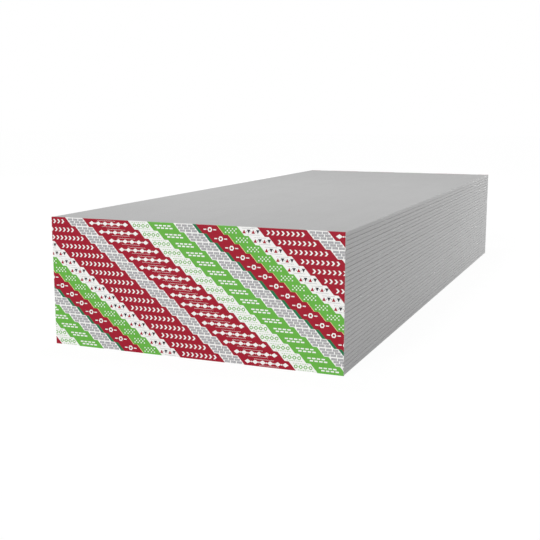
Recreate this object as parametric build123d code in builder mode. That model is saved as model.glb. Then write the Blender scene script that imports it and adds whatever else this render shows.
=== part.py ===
"""A stack of drywall: tapered-edge sheets in bundles of two, laid face to face, each bundle's ends taped.

X runs across the sheets, Y along them and Z up. The origin is under the middle of the stack.
"""

import os

from build123d import *

os.makedirs("parts", exist_ok=True)

# Driving dimensions, in millimetres
sheet_length = 3048.0
sheet_width = 1219.2
sheet_thickness = 15.875
taper_width = 57.0
taper_depth = 0.51
face_corner_radius = 0.3
back_corner_radius = 3.2
tape_thickness = 0.25
tape_fold = 10.0
bundle_count = 16

# Sizes that follow from them
half_length = sheet_length / 2
half_width = sheet_width / 2
sheet_pair = 2 * sheet_thickness
bundle_height = sheet_pair + 2 * tape_thickness


def drywall_sheet(back_height, face_up):
    """One sheet, its flat back at the given height and its face above or below that.

    Paper wraps both long edges, which taper towards the face. The two ends are cut square.
    """
    across = (1, 0, 0) if face_up else (-1, 0, 0)
    far_end = Plane(origin=(0, half_length, back_height), x_dir=across, z_dir=(0, -1, 0))
    edge_height = sheet_thickness - taper_depth
    taper_start = half_width - taper_width
    with BuildPart() as sheet:
        with BuildSketch(far_end) as section:
            with BuildLine():
                Polyline(
                    (-half_width, 0),
                    (half_width, 0),
                    (half_width, edge_height),
                    (taper_start, sheet_thickness),
                    (-taper_start, sheet_thickness),
                    (-half_width, edge_height),
                    close=True,
                )
            make_face()
            fillet(section.vertices().group_by(Axis.Y)[1], face_corner_radius)
            fillet(section.vertices().group_by(Axis.Y)[0], back_corner_radius)
        extrude(amount=sheet_length)
    return sheet


def end_tapes(underside):
    """The paper tapes of one bundle: a channel over each end, folded onto both outer backs."""
    near_end = Plane(origin=(-half_width, -half_length, underside), x_dir=(0, 1, 0), z_dir=(1, 0, 0))
    with BuildPart() as tapes:
        with BuildSketch(near_end) as section:
            with Locations((-tape_thickness, 0)):
                Rectangle(tape_thickness + tape_fold, bundle_height, align=(Align.MIN, Align.MIN))
            fillet(section.vertices().group_by(Axis.X)[0], tape_thickness)
            with Locations((0, tape_thickness)):
                Rectangle(tape_fold, sheet_pair, align=(Align.MIN, Align.MIN), mode=Mode.SUBTRACT)
        extrude(amount=sheet_width)
        mirror(about=Plane.XZ)
    return tapes


for number in range(1, bundle_count + 1):
    underside = (number - 1) * bundle_height
    lower_back = underside + tape_thickness
    bundle = {
        "lower_sheet": drywall_sheet(lower_back, face_up=True),
        "upper_sheet": drywall_sheet(lower_back + sheet_pair, face_up=False),
        "end_tapes": end_tapes(underside),
    }
    for piece, builder in bundle.items():
        builder.part.label = f"bundle_{number:02d}_{piece}"
        export_step(builder.part, f"parts/{builder.part.label}.step")
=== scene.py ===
"""The looks of a stack of drywall: grey paper sheets in bundles of two, with printed tape over their ends.

Metres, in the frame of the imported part: X across the sheets, Y along them, Z up.
"""

import math
from functools import reduce

import bpy
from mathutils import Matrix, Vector
from mathutils.geometry import delaunay_2d_cdt


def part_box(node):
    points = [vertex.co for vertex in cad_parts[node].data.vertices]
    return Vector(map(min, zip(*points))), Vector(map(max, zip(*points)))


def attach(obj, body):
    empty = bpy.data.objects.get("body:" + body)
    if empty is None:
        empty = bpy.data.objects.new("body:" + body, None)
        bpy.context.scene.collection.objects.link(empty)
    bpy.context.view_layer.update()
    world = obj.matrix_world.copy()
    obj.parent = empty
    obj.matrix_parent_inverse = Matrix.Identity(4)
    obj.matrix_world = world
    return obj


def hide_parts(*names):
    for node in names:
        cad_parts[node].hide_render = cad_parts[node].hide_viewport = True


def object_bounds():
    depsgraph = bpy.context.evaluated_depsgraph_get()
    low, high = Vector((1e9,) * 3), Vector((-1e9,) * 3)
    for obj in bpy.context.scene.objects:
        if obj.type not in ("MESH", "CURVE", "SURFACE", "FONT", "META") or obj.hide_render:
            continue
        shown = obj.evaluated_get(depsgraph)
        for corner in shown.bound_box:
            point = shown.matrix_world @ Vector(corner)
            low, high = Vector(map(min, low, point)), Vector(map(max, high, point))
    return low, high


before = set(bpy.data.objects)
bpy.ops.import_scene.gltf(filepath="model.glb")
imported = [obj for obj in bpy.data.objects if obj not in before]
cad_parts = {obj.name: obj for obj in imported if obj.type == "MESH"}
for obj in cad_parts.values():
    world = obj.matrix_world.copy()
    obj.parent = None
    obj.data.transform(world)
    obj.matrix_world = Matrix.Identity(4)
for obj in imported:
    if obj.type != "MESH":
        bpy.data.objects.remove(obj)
cad_low, cad_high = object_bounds()

MM = 0.001

# Sizes of the sheets and of their tape, read from the first bundle
BUNDLES = sorted(name.removesuffix("_end_tapes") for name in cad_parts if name.endswith("_end_tapes"))
tape_low, tape_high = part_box(f"{BUNDLES[0]}_end_tapes")
sheet_low, sheet_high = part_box(f"{BUNDLES[0]}_lower_sheet")
BUNDLE_HEIGHT = tape_high.z - tape_low.z
SHEET_WIDTH = sheet_high.x - sheet_low.x
SHEET_END = sheet_high.y
TAPE_THICKNESS = sheet_low.z - tape_low.z

# How far the tape is folded onto the backs, and how many flat steps each of its bends has
TAPE_FOLD = 10 * MM
BEND_STEPS = 3

# Points are rounded to this many digits, so that faces share them, and one this near a line lies on it
PLACE_DIGITS = 7
NEAR_LINE = 1e-6

# The print is cut into triangles inside its outlines only, where points this near, in millimetres, are one
CUT_INSIDE = 1
CUT_NEARNESS = 0.001

# The map that a tape's looks can be baked on: both tapes of a bundle, each cut into lengths that lie one
# above the other, and low rows for its inner face and its folds' cut edges
MAP_NAME = "OFBake"
MAP_LENGTHS = 3
MAP_LENGTH = SHEET_WIDTH / MAP_LENGTHS
MAP_GAP = 1.2 * MM
MAP_INNER_ROW = 2 * MM

# Colours as they look in plain light, sRGB from 0 to 255
BOARD_GREY = (188, 188, 188)
INKS = {
    "bare": (238, 238, 236),
    "crimson": (154, 12, 39),
    "green": (99, 172, 66),
    "deep_green": (24, 110, 68),
    "cream": (246, 222, 168),
    "grey": (118, 116, 124),
    "charcoal": (46, 44, 52),
}

# Noise in the papers: how often it varies over a metre, along X, Y and Z
BOARD_FIBRE = (900, 260, 900)
BOARD_STREAKS = (45, 1.1, 45)
BOARD_CLOUDS = (7, 5, 7)
DARK_FLECKS = (1300, 800, 1300)
PALE_FIBRES = (1900, 420, 1900)
LAP_WAVINESS = (0, 2.2, 0)
TAPE_FIBRE = (1400, 1400, 1400)
TAPE_CLOUDS = (60, 60, 60)
TAPE_WAVES = (34, 34, 52)

# How much lighter and darker the noise makes the papers
BOARD_FIBRE_SHARE = 0.05
BOARD_UNEVENNESS = 0.015
TAPE_FIBRE_SHARE = 0.03
TAPE_UNEVENNESS = 0.02

# Where most values of a noise lie, and where rare flecks start and reach their full tone
NOISE_SPAN = (0.3, 0.7)
DARK_FLECK_SPAN = (0.64, 0.7)
DARK_FLECK_TONE = 0.8
PALE_FIBRE_SPAN = (0.62, 0.7)
PALE_FIBRE_TONE = 1.12

# The back's paper laps over the face's paper, which is folded round the long edges. Lifts, here and below,
# are in units of the fibre's own height.
LAP_INSET = 28 * MM
LAP_RAMP = 1.2 * MM
LAP_WANDER = 1.5 * MM
LAP_LIFT = 2.5
BACK_TONE = 0.998
FACE_TONE = 1.012
# The seam's tone is a painted shadow along the edge of the back's paper
SEAM_SHADOW_TONE = 0.87

# The tape waves a little over the sheets' ends, and dips where the two sheets meet, where its colour is
# darkened by painted shade
WAVE_LIFT = 36
CREASE_HALF = 1.3 * MM
CREASE_LIFT = 12
CREASE_SHADE_TONE = 0.96

# Gloss and relief. Ink closes the paper's pores, so it is glossier than bare paper.
BOARD_ROUGHNESS = (0.8, 0.92)
BOARD_SPECULAR = 0.25
BOARD_RELIEF = 0.12 * MM
BOARD_RELIEF_STRENGTH = 0.35
BARE_ROUGHNESS = 0.6
INK_ROUGHNESS = 0.47
TAPE_SPECULAR = 0.2
TAPE_RELIEF = 0.06 * MM
TAPE_RELIEF_STRENGTH = 0.25

# The print repeats along the tape. Each bundle's tape starts a step further left than the one below it,
# and the blocks' ends lean the same way, this far over a bundle's height.
PRINT_START = -190 * MM
PRINT_STEP = 44 * MM
BLOCK_LEAN = 28 * MM
BLOCKS = (
    ("crimson", 204 * MM, "lozenges"),
    ("bare", 84 * MM, "rings"),
    ("green", 112 * MM, "dashes"),
    ("bare", 80 * MM, "ticks"),
    ("deep_green", 14 * MM, None),
    ("crimson", 86 * MM, "nuts"),
    ("cream", 2 * MM, None),
    ("green", 80 * MM, "squares"),
    ("bare", 80 * MM, "triangles"),
    ("crimson", 188 * MM, "arrows"),
    ("bare", 80 * MM, "ticks"),
)

# How far most rows of marks keep from their block's ends, and where small ones stand above and below its
# middle
BLOCK_MARGIN = 4 * MM
OUTER_ROWS = (-11.5 * MM, 11.5 * MM)

# The photograph's view
CAMERA_PLACE = Vector((1.5548, -4.5085, 0.9342))
CAMERA_AZIMUTH = math.radians(22.367)
CAMERA_ELEVATION = math.radians(10.008)
CAMERA_LENS = 60.61
CAMERA_SENSOR = 36.0

# Light, in units where 1 shows a surface in its own colour. The key is as strong as its direction is long.
SKY = 0.49
KEY_FROM = Vector((-0.09, -0.54, 0.19))
KEY_SPREAD = math.radians(30)
OVERHEAD = 0.268
OVERHEAD_PLACE = Vector((-0.5, -0.1, 4.1))
SIDE = 0.5
SIDE_PLACE = Vector((5.1, 3.0, 0.45))
BACK = 0.42
BACK_PLACE = Vector((-5.0, 7.4, 0.45))
PANEL_SIZE = 0.9

# The floor is a grey that takes the shadow. Where it is seen, this share of it is a glow just over white.
FLOOR_SPAN = 60.0
FLOOR_GREY = 0.6
FLOOR_GLOW = 1.1
FLOOR_GLOW_SHARE = 0.85


def linear(srgb):
    """A colour of 0 to 255 as the linear RGBA that shaders take."""
    def channel(value):
        value /= 255
        return value / 12.92 if value <= 0.04045 else ((value + 0.055) / 1.055) ** 2.4

    return (*(channel(value) for value in srgb), 1.0)


class Nodes:
    """Short calls for a material's node tree."""

    def __init__(self, name):
        self.material = bpy.data.materials.new(name)
        self.material.use_nodes = True
        self.tree = self.material.node_tree
        self.shader = self.tree.nodes["Principled BSDF"]
        self.place = self.add("ShaderNodeTexCoord").outputs["Object"]

    def add(self, kind, **settings):
        """A new node with the settings."""
        node = self.tree.nodes.new(kind)
        for key, value in settings.items():
            setattr(node, key, value)
        return node

    def link(self, source, target):
        """Lets an output feed an input."""
        self.tree.links.new(source, target)

    def noise(self, scale, detail=3.0):
        """Noise of about 0 to 1, with its own scale per metre along X, Y and Z."""
        stretch = self.add("ShaderNodeMapping")
        stretch.inputs["Scale"].default_value = scale
        self.link(self.place, stretch.inputs["Vector"])
        noise = self.add("ShaderNodeTexNoise")
        noise.inputs["Scale"].default_value = 1.0
        noise.inputs["Detail"].default_value = detail
        self.link(stretch.outputs["Vector"], noise.inputs["Vector"])
        return noise.outputs["Fac"]

    def spread(self, value, low, high, span=(0, 1)):
        """The value's span stretched to low and high."""
        node = self.add("ShaderNodeMapRange")
        node.inputs["From Min"].default_value = span[0]
        node.inputs["From Max"].default_value = span[1]
        node.inputs["To Min"].default_value = low
        node.inputs["To Max"].default_value = high
        self.link(value, node.inputs["Value"])
        return node.outputs["Result"]

    def uneven(self, noise, share):
        """A factor about 1, which the noise varies by up to the share either way."""
        return self.spread(noise, 1 - share, 1 + share, span=NOISE_SPAN)

    def combined(self, operation, *values):
        """A sum, product or the like of sockets and plain numbers."""
        node = self.add("ShaderNodeMath", operation=operation)
        for value, target in zip(values, node.inputs):
            if isinstance(value, float):
                target.default_value = value
            else:
                self.link(value, target)
        return node.outputs["Value"]

    def total(self, *values):
        """The sum of the values."""
        return reduce(lambda first, second: self.combined("ADD", first, second), values)

    def product(self, *values):
        """The product of the values."""
        return reduce(lambda first, second: self.combined("MULTIPLY", first, second), values)

    def along(self, axis):
        """Where a place is along X, Y or Z."""
        axes = self.add("ShaderNodeSeparateXYZ")
        self.link(self.place, axes.inputs["Vector"])
        return axes.outputs[axis]

    def colour(self, colour, factor):
        """Gives the shader the colour, made lighter or darker by the factor."""
        node = self.add("ShaderNodeVectorMath", operation="SCALE")
        node.inputs[0].default_value = linear(colour)[:3]
        self.link(factor, node.inputs["Scale"])
        self.link(node.outputs["Vector"], self.shader.inputs["Base Color"])

    def bump(self, height, distance, strength):
        """Gives the shader the relief of the height."""
        node = self.add("ShaderNodeBump")
        node.inputs["Distance"].default_value = distance
        node.inputs["Strength"].default_value = strength
        self.link(height, node.inputs["Height"])
        self.link(node.outputs["Normal"], self.shader.inputs["Normal"])


def board_paper():
    """Grey recycled paper, rolled out along the sheet, with the lap of the back's paper on the face's and a
    painted shadow along the lap's edge.
    """
    paper = Nodes("board_paper")
    fibre = paper.noise(BOARD_FIBRE, detail=4)
    dark_flecks = paper.noise(DARK_FLECKS, detail=1)
    pale_fibres = paper.noise(PALE_FIBRES, detail=1)

    # The back's paper is 1 up to the lap and 0 past it, with a short ramp between. The painted shadow along
    # the lap's edge is a line on that ramp, in whose middle the product of both papers' shares peaks at a
    # quarter.
    lap = SHEET_WIDTH / 2 - LAP_INSET
    wander = paper.spread(paper.noise(LAP_WAVINESS), -LAP_WANDER, LAP_WANDER, span=NOISE_SPAN)
    across = paper.total(paper.combined("ABSOLUTE", paper.along("X")), wander)
    back = paper.spread(across, 1, 0, span=(lap, lap + LAP_RAMP))
    painted_seam_shadow = paper.product(back, paper.spread(back, 1, 0))

    paper.colour(BOARD_GREY, paper.product(
        paper.spread(back, FACE_TONE, BACK_TONE),
        # Painted shadow along the edge of the back's paper, where it laps onto the face's
        paper.spread(painted_seam_shadow, 1.0, SEAM_SHADOW_TONE, span=(0, 1 / 4)),
        paper.uneven(paper.noise(BOARD_STREAKS), BOARD_UNEVENNESS),
        paper.uneven(paper.noise(BOARD_CLOUDS), BOARD_UNEVENNESS),
        paper.uneven(fibre, BOARD_FIBRE_SHARE),
        paper.spread(dark_flecks, 1.0, DARK_FLECK_TONE, span=DARK_FLECK_SPAN),
        paper.spread(pale_fibres, 1.0, PALE_FIBRE_TONE, span=PALE_FIBRE_SPAN),
    ))
    paper.link(paper.spread(fibre, *BOARD_ROUGHNESS, span=NOISE_SPAN), paper.shader.inputs["Roughness"])
    paper.shader.inputs["Specular IOR Level"].default_value = BOARD_SPECULAR
    height = paper.total(fibre, paper.spread(back, 0, LAP_LIFT))
    paper.bump(height, BOARD_RELIEF, BOARD_RELIEF_STRENGTH)
    return paper.material


def tape_ink(name, colour):
    """Smooth tape paper, bare or inked: its fibre, soft waves, and a crease where the two sheets meet,
    darkened by painted shade.
    """
    ink = Nodes(f"tape_{name}")
    fibre = ink.noise(TAPE_FIBRE, detail=3)
    waves = ink.noise(TAPE_WAVES, detail=2)
    middle = BUNDLE_HEIGHT / 2
    from_corner = ink.combined("PINGPONG", ink.along("Z"), middle)
    crease = ink.spread(from_corner, 0, 1, span=(middle - CREASE_HALF, middle))

    ink.colour(colour, ink.product(
        # Painted shade in the crease where the two sheets meet
        ink.spread(crease, 1.0, CREASE_SHADE_TONE),
        ink.uneven(ink.noise(TAPE_CLOUDS), TAPE_UNEVENNESS),
        ink.uneven(fibre, TAPE_FIBRE_SHARE),
    ))
    ink.shader.inputs["Roughness"].default_value = BARE_ROUGHNESS if name == "bare" else INK_ROUGHNESS
    ink.shader.inputs["Specular IOR Level"].default_value = TAPE_SPECULAR
    height = ink.total(
        fibre,
        ink.spread(waves, 0, WAVE_LIFT, span=NOISE_SPAN),
        ink.spread(crease, 0, -CREASE_LIFT),
    )
    ink.bump(height, TAPE_RELIEF, TAPE_RELIEF_STRENGTH)
    return ink.material


# Marks on the print, as (ink, corners) in the tape's own plane: along the tape, and up from the middle of
# the bundle. Corners run anticlockwise. A function for a block's marks takes the block's middle and width.

def rectangle(u, v, width, height):
    """A rectangle round its middle."""
    return [
        (u - width / 2, v - height / 2),
        (u + width / 2, v - height / 2),
        (u + width / 2, v + height / 2),
        (u - width / 2, v + height / 2),
    ]


def polygon(u, v, radius, corners, stretch=1.0):
    """A regular polygon with a corner to the right, widened by the stretch."""
    angles = [2 * math.pi * k / corners for k in range(corners)]
    return [(u + radius * stretch * math.cos(a), v + radius * math.sin(a)) for a in angles]


def row_of(u, width, pitch):
    """The middles of as many marks as fit in the width."""
    count = int(width / pitch)
    return [u + (k - (count - 1) / 2) * pitch for k in range(count)]


def leant(u, v):
    """A place along the tape, moved as far as the blocks lean at that height."""
    return u - BLOCK_LEAN / BUNDLE_HEIGHT * v


def outer_rows(ink, u, width, pitch, mark_width, mark_height):
    """A row of small rectangles above the middle and one below it, set as the blocks lean."""
    marks = []
    for v in OUTER_ROWS:
        for x in row_of(leant(u, v), width, pitch):
            marks.append((ink, rectangle(x, v, mark_width, mark_height)))
    return marks


def fine_rows(ink, u, width):
    """Two rows of small squares, like fine print seen from afar."""
    pitch, side = 4 * MM, 1.8 * MM
    return outer_rows(ink, u, width, pitch, side, side)


def lozenges(u, width):
    """Long white lozenges with a small one between each two, and fine rows above and below."""
    pitch, half, small_half = 30 * MM, 8.4 * MM, 3.4 * MM
    fine_width = width * 0.4
    places = row_of(u, width - BLOCK_LEAN / 2, pitch)
    marks = [("bare", polygon(x, 0, half, corners=4, stretch=1.5)) for x in places]
    marks += [("bare", polygon(x + pitch / 2, 0, small_half, corners=4)) for x in places[:-1]]
    return marks + fine_rows("bare", u, fine_width)


def rings(u, width):
    """Green rings with a dot between each two, and green strokes above and below."""
    pitch, outer, inner, dot = 19 * MM, 7 * MM, 3.9 * MM, 1.7 * MM
    stroke_pitch, stroke_width, stroke_height = 9 * MM, 6 * MM, 1.6 * MM
    places = row_of(u, width - 2 * BLOCK_MARGIN, pitch)
    marks = []
    for x in places:
        marks.append(("green", polygon(x, 0, outer, corners=20)))
        marks.append(("bare", polygon(x, 0, inner, corners=20)))
    marks += [("green", polygon(x + pitch / 2, 0, dot, corners=10)) for x in places[:-1]]
    strokes_width = width - 2 * BLOCK_MARGIN - stroke_width
    return marks + outer_rows("green", u, strokes_width, stroke_pitch, stroke_width, stroke_height)


def dashes(u, width):
    """Two rows of white dashes, set like bricks."""
    pitch, dash_width, dash_height, row_height = 18 * MM, 13 * MM, 5.2 * MM, 4.6 * MM
    margin = 5 * MM
    rows_width = width - BLOCK_LEAN - 2 * margin
    marks = []
    for side in (1, -1):
        for x in row_of(u - side * pitch / 4, rows_width, pitch):
            marks.append(("bare", rectangle(x, side * row_height, dash_width, dash_height)))
    return marks


def ticks(u, width):
    """Grey ticks in three leaning rows, with a gap after every sixth."""
    pitch, group = 3.5 * MM, 7
    tick_width, tick_height, row_height = 2.4 * MM, 8.4 * MM, 9.6 * MM
    marks = []
    for v in (-row_height, 0, row_height):
        for k, x in enumerate(row_of(leant(u, v), width - 2 * BLOCK_MARGIN, pitch)):
            if k % group != group - 1:
                marks.append(("grey", rectangle(x, v, tick_width, tick_height)))
    return marks


def nuts(u, _width):
    """A white hexagon with a round hole, between two bars."""
    radius, hole = 10 * MM, 4.4 * MM
    bar_place, bar_width, bar_height = 20 * MM, 12 * MM, 4 * MM
    marks = [
        ("bare", polygon(u, 0, radius, corners=6)),
        ("crimson", polygon(u, 0, hole, corners=20)),
    ]
    for side in (-1, 1):
        marks.append(("bare", rectangle(u + side * bar_place, 0, bar_width, bar_height)))
    return marks


def squares(u, width):
    """White squares in three rows, like a chequer board."""
    pitch, side = 7 * MM, 4.6 * MM
    marks = []
    for k, x in enumerate(row_of(u, width - BLOCK_LEAN, pitch)):
        rows = (0,) if k % 2 else (-pitch, pitch)
        marks += [("bare", rectangle(x, v, side, side)) for v in rows]
    return marks


def triangles(u, width):
    """Triangles, crimson ones up and charcoal ones down, with dots between them and fine rows beside."""
    pitch, half, dot = 18 * MM, 7 * MM, 1.6 * MM
    fine_width = width * 0.6
    places = row_of(u, width - 2 * BLOCK_MARGIN, pitch)
    marks = []
    for k, x in enumerate(places):
        ink, tip = (("crimson", half), ("charcoal", -half))[k % 2]
        marks.append((ink, [(x - tip, -tip), (x + tip, -tip), (x, tip)]))
    marks += [("grey", polygon(x + pitch / 2, 0, dot, corners=8)) for x in places[:-1]]
    return marks + fine_rows("grey", u, fine_width)


def arrows(u, width):
    """White arrow heads pointing along the tape."""
    pitch, reach, half, stroke = 19 * MM, 7 * MM, 8.2 * MM, 7 * MM
    marks = []
    for x in row_of(u, width - BLOCK_LEAN, pitch):
        left = x - (reach + stroke) / 2
        marks.append(("bare", [
            (left, -half),
            (left + stroke, -half),
            (left + stroke + reach, 0),
            (left + stroke, half),
            (left, half),
            (left + reach, 0),
        ]))
    return marks


MARKS = {mark.__name__: mark for mark in (lozenges, rings, dashes, ticks, nuts, squares, triangles, arrows)}


def printed(start, half_height):
    """The whole print of one tape as (ink, corners), the later ones on top."""
    lean = BLOCK_LEAN / BUNDLE_HEIGHT * half_height
    shapes = []
    period = sum(width for _, width, _ in BLOCKS)
    left = start - period * math.ceil((start + BLOCK_LEAN) / period)
    while left < SHEET_WIDTH + lean:
        for ink, width, mark in BLOCKS:
            right = left + width
            shapes.append((ink, [
                (left + lean, -half_height),
                (right + lean, -half_height),
                (right - lean, half_height),
                (left - lean, half_height),
            ]))
            if mark:
                shapes += MARKS[mark]((left + right) / 2, width)
            left = right
    return [
        (ink, corners)
        for ink, corners in shapes
        if max(u for u, _ in corners) > 0 and min(u for u, _ in corners) < SHEET_WIDTH
    ]


def outer_profile():
    """The tape's outer line from fold to fold, as (distance along it, inward, up).

    Inward is measured from the ends of the sheets, and up from the bundle's underside.
    """
    bend = [math.pi / 2 * k / BEND_STEPS for k in range(BEND_STEPS + 1)]
    lower = [(-TAPE_THICKNESS * math.sin(a), TAPE_THICKNESS * (1 - math.cos(a))) for a in bend]
    upper = [(inward, BUNDLE_HEIGHT - up) for inward, up in reversed(lower)]
    line = [(TAPE_FOLD, 0.0), *lower, *upper, (TAPE_FOLD, BUNDLE_HEIGHT)]
    along = [0.0]
    for (y0, z0), (y1, z1) in zip(line, line[1:]):
        along.append(along[-1] + math.hypot(y1 - y0, z1 - z0))
    return [(v - along[-1] / 2, y, z) for v, (y, z) in zip(along, line)]


def inner_profile():
    """The tape's inner line from fold to fold, as (inward, up)."""
    low, high = TAPE_THICKNESS, BUNDLE_HEIGHT - TAPE_THICKNESS
    return [(TAPE_FOLD, low), (0.0, low), (0.0, high), (TAPE_FOLD, high)]


def on_profile(profile, v):
    """Where a distance along the outer profile lies, as (inward, up)."""
    for (v0, y0, z0), (v1, y1, z1) in zip(profile, profile[1:]):
        if v <= v1 or v1 == profile[-1][0]:
            t = min(max((v - v0) / (v1 - v0), 0.0), 1.0)
            return y0 + (y1 - y0) * t, z0 + (z1 - z0) * t


class Skin:
    """A mesh in the making: points that neighbours share, and each face's ink and place on the map."""

    def __init__(self):
        self.points, self.faces, self.inks, self.places = [], [], [], []
        self.numbers = {}

    def point(self, x, inward, up):
        """The number of the point at a place, new or shared with a neighbour."""
        key = (round(x, PLACE_DIGITS), round(inward, PLACE_DIGITS), round(up, PLACE_DIGITS))
        if key not in self.numbers:
            self.numbers[key] = len(self.points)
            self.points.append(key)
        return self.numbers[key]

    def face(self, corners, ink, places):
        """Adds a face of one ink, with a place on the map for each corner."""
        self.faces.append([self.point(*corner) for corner in corners])
        self.inks.append(ink)
        self.places.append(places)


def add_outer_face(skin, profile, start):
    """The tape's outer face, cut along the print.

    Gives the points of the cut, as (distance along the tape, distance along the profile).
    """
    half_height = profile[-1][0]
    map_row = 2 * half_height + MAP_GAP
    cells = []
    for k in range(MAP_LENGTHS):
        left, right = k * MAP_LENGTH, (k + 1) * MAP_LENGTH
        for (v0, _, _), (v1, _, _) in zip(profile, profile[1:]):
            cells.append((None, [(left, v0), (right, v0), (right, v1), (left, v1)]))

    shapes = cells + printed(start, half_height)
    corners, outlines = [], []
    for _, outline in shapes:
        outlines.append(list(range(len(corners), len(corners) + len(outline))))
        corners += [Vector(corner) / MM for corner in outline]
    cut = delaunay_2d_cdt(corners, [], outlines, CUT_INSIDE, CUT_NEARNESS)
    flat, _, pieces, _, _, sources = cut
    spots = [(point.x * MM, point.y * MM) for point in flat]

    # A piece comes from one cell and from the shapes that cover it, of which the last is on top
    for piece, source in zip(pieces, sources):
        cell = min(source)
        if cell >= len(cells):
            continue
        k = cell * MAP_LENGTHS // len(cells)
        skin.face(
            [(spots[n][0], *on_profile(profile, spots[n][1])) for n in piece],
            shapes[max(source)][0] or "bare",
            [(spots[n][0] - k * MAP_LENGTH, spots[n][1] + half_height + k * map_row) for n in piece],
        )
    return spots


def add_inner_face(skin, inner, level):
    """The tape's inner face, on the map from the level up. Gives the next free level."""
    for (y0, z0), (y1, z1) in zip(inner, inner[1:]):
        top = level + MAP_INNER_ROW
        skin.face(
            [(0, y0, z0), (0, y1, z1), (SHEET_WIDTH, y1, z1), (SHEET_WIDTH, y0, z0)],
            "bare",
            [(0, level), (0, top), (MAP_LENGTH, top), (MAP_LENGTH, level)],
        )
        level = top + MAP_GAP
    return level


def add_fold_edges(skin, profile, inner, spots, level):
    """The tape's two long cut edges, at the ends of its folds. Gives the next free level of the map."""
    for v, (y, z) in ((profile[0][0], inner[0]), (profile[-1][0], inner[-1])):
        on_edge = {round(u, PLACE_DIGITS) for u, spot_v in spots if abs(spot_v - v) < NEAR_LINE}
        cuts = sorted(u for u in on_edge if 0 <= u <= SHEET_WIDTH)
        top = level + MAP_INNER_ROW
        edge = [(x, *on_profile(profile, v)) for x in cuts] + [(SHEET_WIDTH, y, z), (0, y, z)]
        places = [(x / MAP_LENGTHS, level) for x in cuts] + [(MAP_LENGTH, top), (0, top)]
        if v < 0:
            edge.reverse()
            places.reverse()
        skin.face(edge, "bare", places)
        level = top + MAP_GAP
    return level


def add_side_edges(skin, profile, inner, spots, level):
    """The tape's cut edges level with the sheets' long sides. Gives the next free level of the map."""
    for side, x in enumerate((0, SHEET_WIDTH)):
        cuts = sorted({round(v, PLACE_DIGITS) for u, v in spots if abs(u - x) < NEAR_LINE})
        edge = [on_profile(profile, v) for v in cuts] + inner[::-1]
        if side == 1:
            edge.reverse()
        shift = side * (BUNDLE_HEIGHT + MAP_GAP)
        places = [(z + shift, level + y + TAPE_THICKNESS) for y, z in edge]
        skin.face([(x, y, z) for y, z in edge], "bare", places)
    return level + TAPE_FOLD + TAPE_THICKNESS + MAP_GAP


def tape_skin(start):
    """One whole tape, closed, whose print begins at the start. Gives its height on the map too."""
    skin, profile, inner = Skin(), outer_profile(), inner_profile()
    spots = add_outer_face(skin, profile, start)
    level = MAP_LENGTHS * (2 * profile[-1][0] + MAP_GAP)
    level = add_inner_face(skin, inner, level)
    level = add_fold_edges(skin, profile, inner, spots, level)
    level = add_side_edges(skin, profile, inner, spots, level)
    return skin, level


def lay_on_map(mesh, skin, map_height):
    """Gives the mesh its map, with the far tape above the near one."""
    map_side = max(MAP_LENGTH + 2 * MAP_GAP, 2 * map_height + MAP_GAP)
    corners = []
    for shift in (MAP_GAP, MAP_GAP + map_height):
        for places in skin.places:
            for x, y in places:
                corners += [(x + MAP_GAP) / map_side, (y + shift) / map_side]
    mesh.uv_layers.new(name=MAP_NAME).data.foreach_set("uv", corners)


def end_tapes(bundle, level, materials):
    """Both tapes of a bundle in one piece, which stands for the bundle's tape node."""
    node = f"{bundle}_end_tapes"
    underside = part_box(node)[0].z
    skin, map_height = tape_skin(PRINT_START - level * PRINT_STEP)
    near = [(x - SHEET_WIDTH / 2, y - SHEET_END, z + underside) for x, y, z in skin.points]
    far = [(-x, -y, z) for x, y, z in near]
    far_faces = [[k + len(near) for k in face] for face in skin.faces]
    mesh = bpy.data.meshes.new(f"{bundle}_printed_tapes")
    mesh.from_pydata(near + far, [], skin.faces + far_faces)
    lay_on_map(mesh, skin, map_height)
    for name in INKS:
        mesh.materials.append(materials[name])
    order = list(INKS)
    mesh.polygons.foreach_set("material_index", [order.index(ink) for ink in skin.inks * 2])
    mesh.validate()
    tapes = bpy.data.objects.new(f"{bundle}_printed_tapes", mesh)
    bpy.context.scene.collection.objects.link(tapes)
    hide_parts(node)
    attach(tapes, "root")


def dress_sheets():
    """Gives every sheet its paper."""
    paper = board_paper()
    for name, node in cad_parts.items():
        if name.endswith("_sheet"):
            for slot in node.material_slots:
                slot.material = paper


def share_seen_directly(tree):
    """1 for what the camera, glass or a gloss sees, 0 for light on its way to a surface."""
    path = tree.nodes.new("ShaderNodeLightPath")
    share = path.outputs["Is Camera Ray"]
    for other in ("Is Glossy Ray", "Is Transmission Ray"):
        larger = tree.nodes.new("ShaderNodeMath")
        larger.operation = "MAXIMUM"
        tree.links.new(share, larger.inputs[0])
        tree.links.new(path.outputs[other], larger.inputs[1])
        share = larger.outputs["Value"]
    return share


def floor_paint():
    """Grey that takes the stack's shadow, mostly covered by a white glow where it is seen."""
    material = bpy.data.materials.new("floor")
    material.use_nodes = True
    tree = material.node_tree
    grey = tree.nodes.new("ShaderNodeBsdfDiffuse")
    grey.inputs["Color"].default_value = (FLOOR_GREY, FLOOR_GREY, FLOOR_GREY, 1)
    glow = tree.nodes.new("ShaderNodeEmission")
    glow.inputs["Strength"].default_value = FLOOR_GLOW
    share = tree.nodes.new("ShaderNodeMath")
    share.operation = "MULTIPLY"
    share.inputs[1].default_value = FLOOR_GLOW_SHARE
    mix = tree.nodes.new("ShaderNodeMixShader")
    tree.links.new(share_seen_directly(tree), share.inputs[0])
    tree.links.new(share.outputs["Value"], mix.inputs["Fac"])
    tree.links.new(grey.outputs["BSDF"], mix.inputs[1])
    tree.links.new(glow.outputs["Emission"], mix.inputs[2])
    tree.links.new(mix.outputs["Shader"], tree.nodes["Material Output"].inputs["Surface"])
    return material


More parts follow.
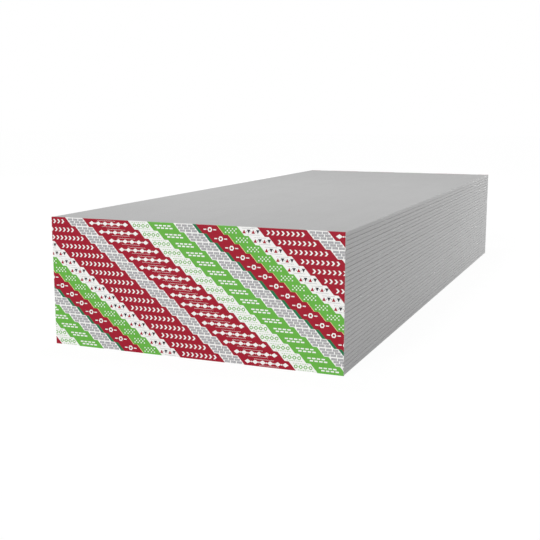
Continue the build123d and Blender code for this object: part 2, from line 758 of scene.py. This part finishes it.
def white_floor():
    """A wide floor that shows white and keeps a faint shadow of the stack."""
    bpy.ops.mesh.primitive_plane_add(size=FLOOR_SPAN)
    floor = bpy.context.object
    floor.name = "floor"
    floor.data.materials.append(floor_paint())


def white_world():
    """White where it is seen, and a plain even sky where it lights the stack."""
    world = bpy.data.worlds.new("studio")
    world.use_nodes = True
    tree = world.node_tree
    background = tree.nodes["Background"]
    background.inputs["Color"].default_value = (1, 1, 1, 1)
    strength = tree.nodes.new("ShaderNodeMapRange")
    strength.inputs["To Min"].default_value = SKY
    strength.inputs["To Max"].default_value = 1.0
    tree.links.new(share_seen_directly(tree), strength.inputs["Value"])
    tree.links.new(strength.outputs["Result"], background.inputs["Strength"])
    bpy.context.scene.world = world


def lamp(name, kind, place, towards):
    """A lamp at the place, turned towards a point. Gives its light."""
    light = bpy.data.lights.new(name, kind)
    holder = bpy.data.objects.new(name, light)
    holder.location = place
    holder.rotation_euler = (towards - place).to_track_quat("-Z", "Y").to_euler()
    bpy.context.scene.collection.objects.link(holder)
    return light


def panel(name, place, towards, level):
    """A square lamp that adds the level to a surface that faces it at the point it is turned to."""
    light = lamp(name, "AREA", place, towards)
    light.energy = level * (math.pi * (towards - place).length) ** 2
    light.size = PANEL_SIZE


def studio_lights():
    """A low key from the front, a panel overhead, and two low ones for the right side and the back."""
    middle = (cad_low + cad_high) / 2
    key = lamp("key", "SUN", middle + KEY_FROM, middle)
    key.energy = KEY_FROM.length * math.pi
    key.angle = KEY_SPREAD
    panel("overhead", OVERHEAD_PLACE, Vector((*OVERHEAD_PLACE.xy, cad_high.z)), OVERHEAD)
    panel("side", SIDE_PLACE, Vector((cad_high.x, cad_high.y, middle.z)), SIDE)
    panel("back", BACK_PLACE, Vector((cad_low.x, cad_high.y, middle.z)), BACK)


def camera():
    """The photograph's camera."""
    view = bpy.data.cameras.new("camera")
    view.lens = CAMERA_LENS
    view.sensor_width = CAMERA_SENSOR
    view.clip_end = 2 * FLOOR_SPAN
    holder = bpy.data.objects.new("camera", view)
    holder.location = CAMERA_PLACE
    holder.rotation_euler = (math.pi / 2 - CAMERA_ELEVATION, 0, CAMERA_AZIMUTH)
    bpy.context.scene.collection.objects.link(holder)
    bpy.context.scene.camera = holder


dress_sheets()
tape_materials = {name: tape_ink(name, colour) for name, colour in INKS.items()}
for level, bundle in enumerate(BUNDLES):
    end_tapes(bundle, level, tape_materials)
white_floor()
white_world()
studio_lights()
camera()
bpy.context.scene.view_settings.view_transform = "Standard"
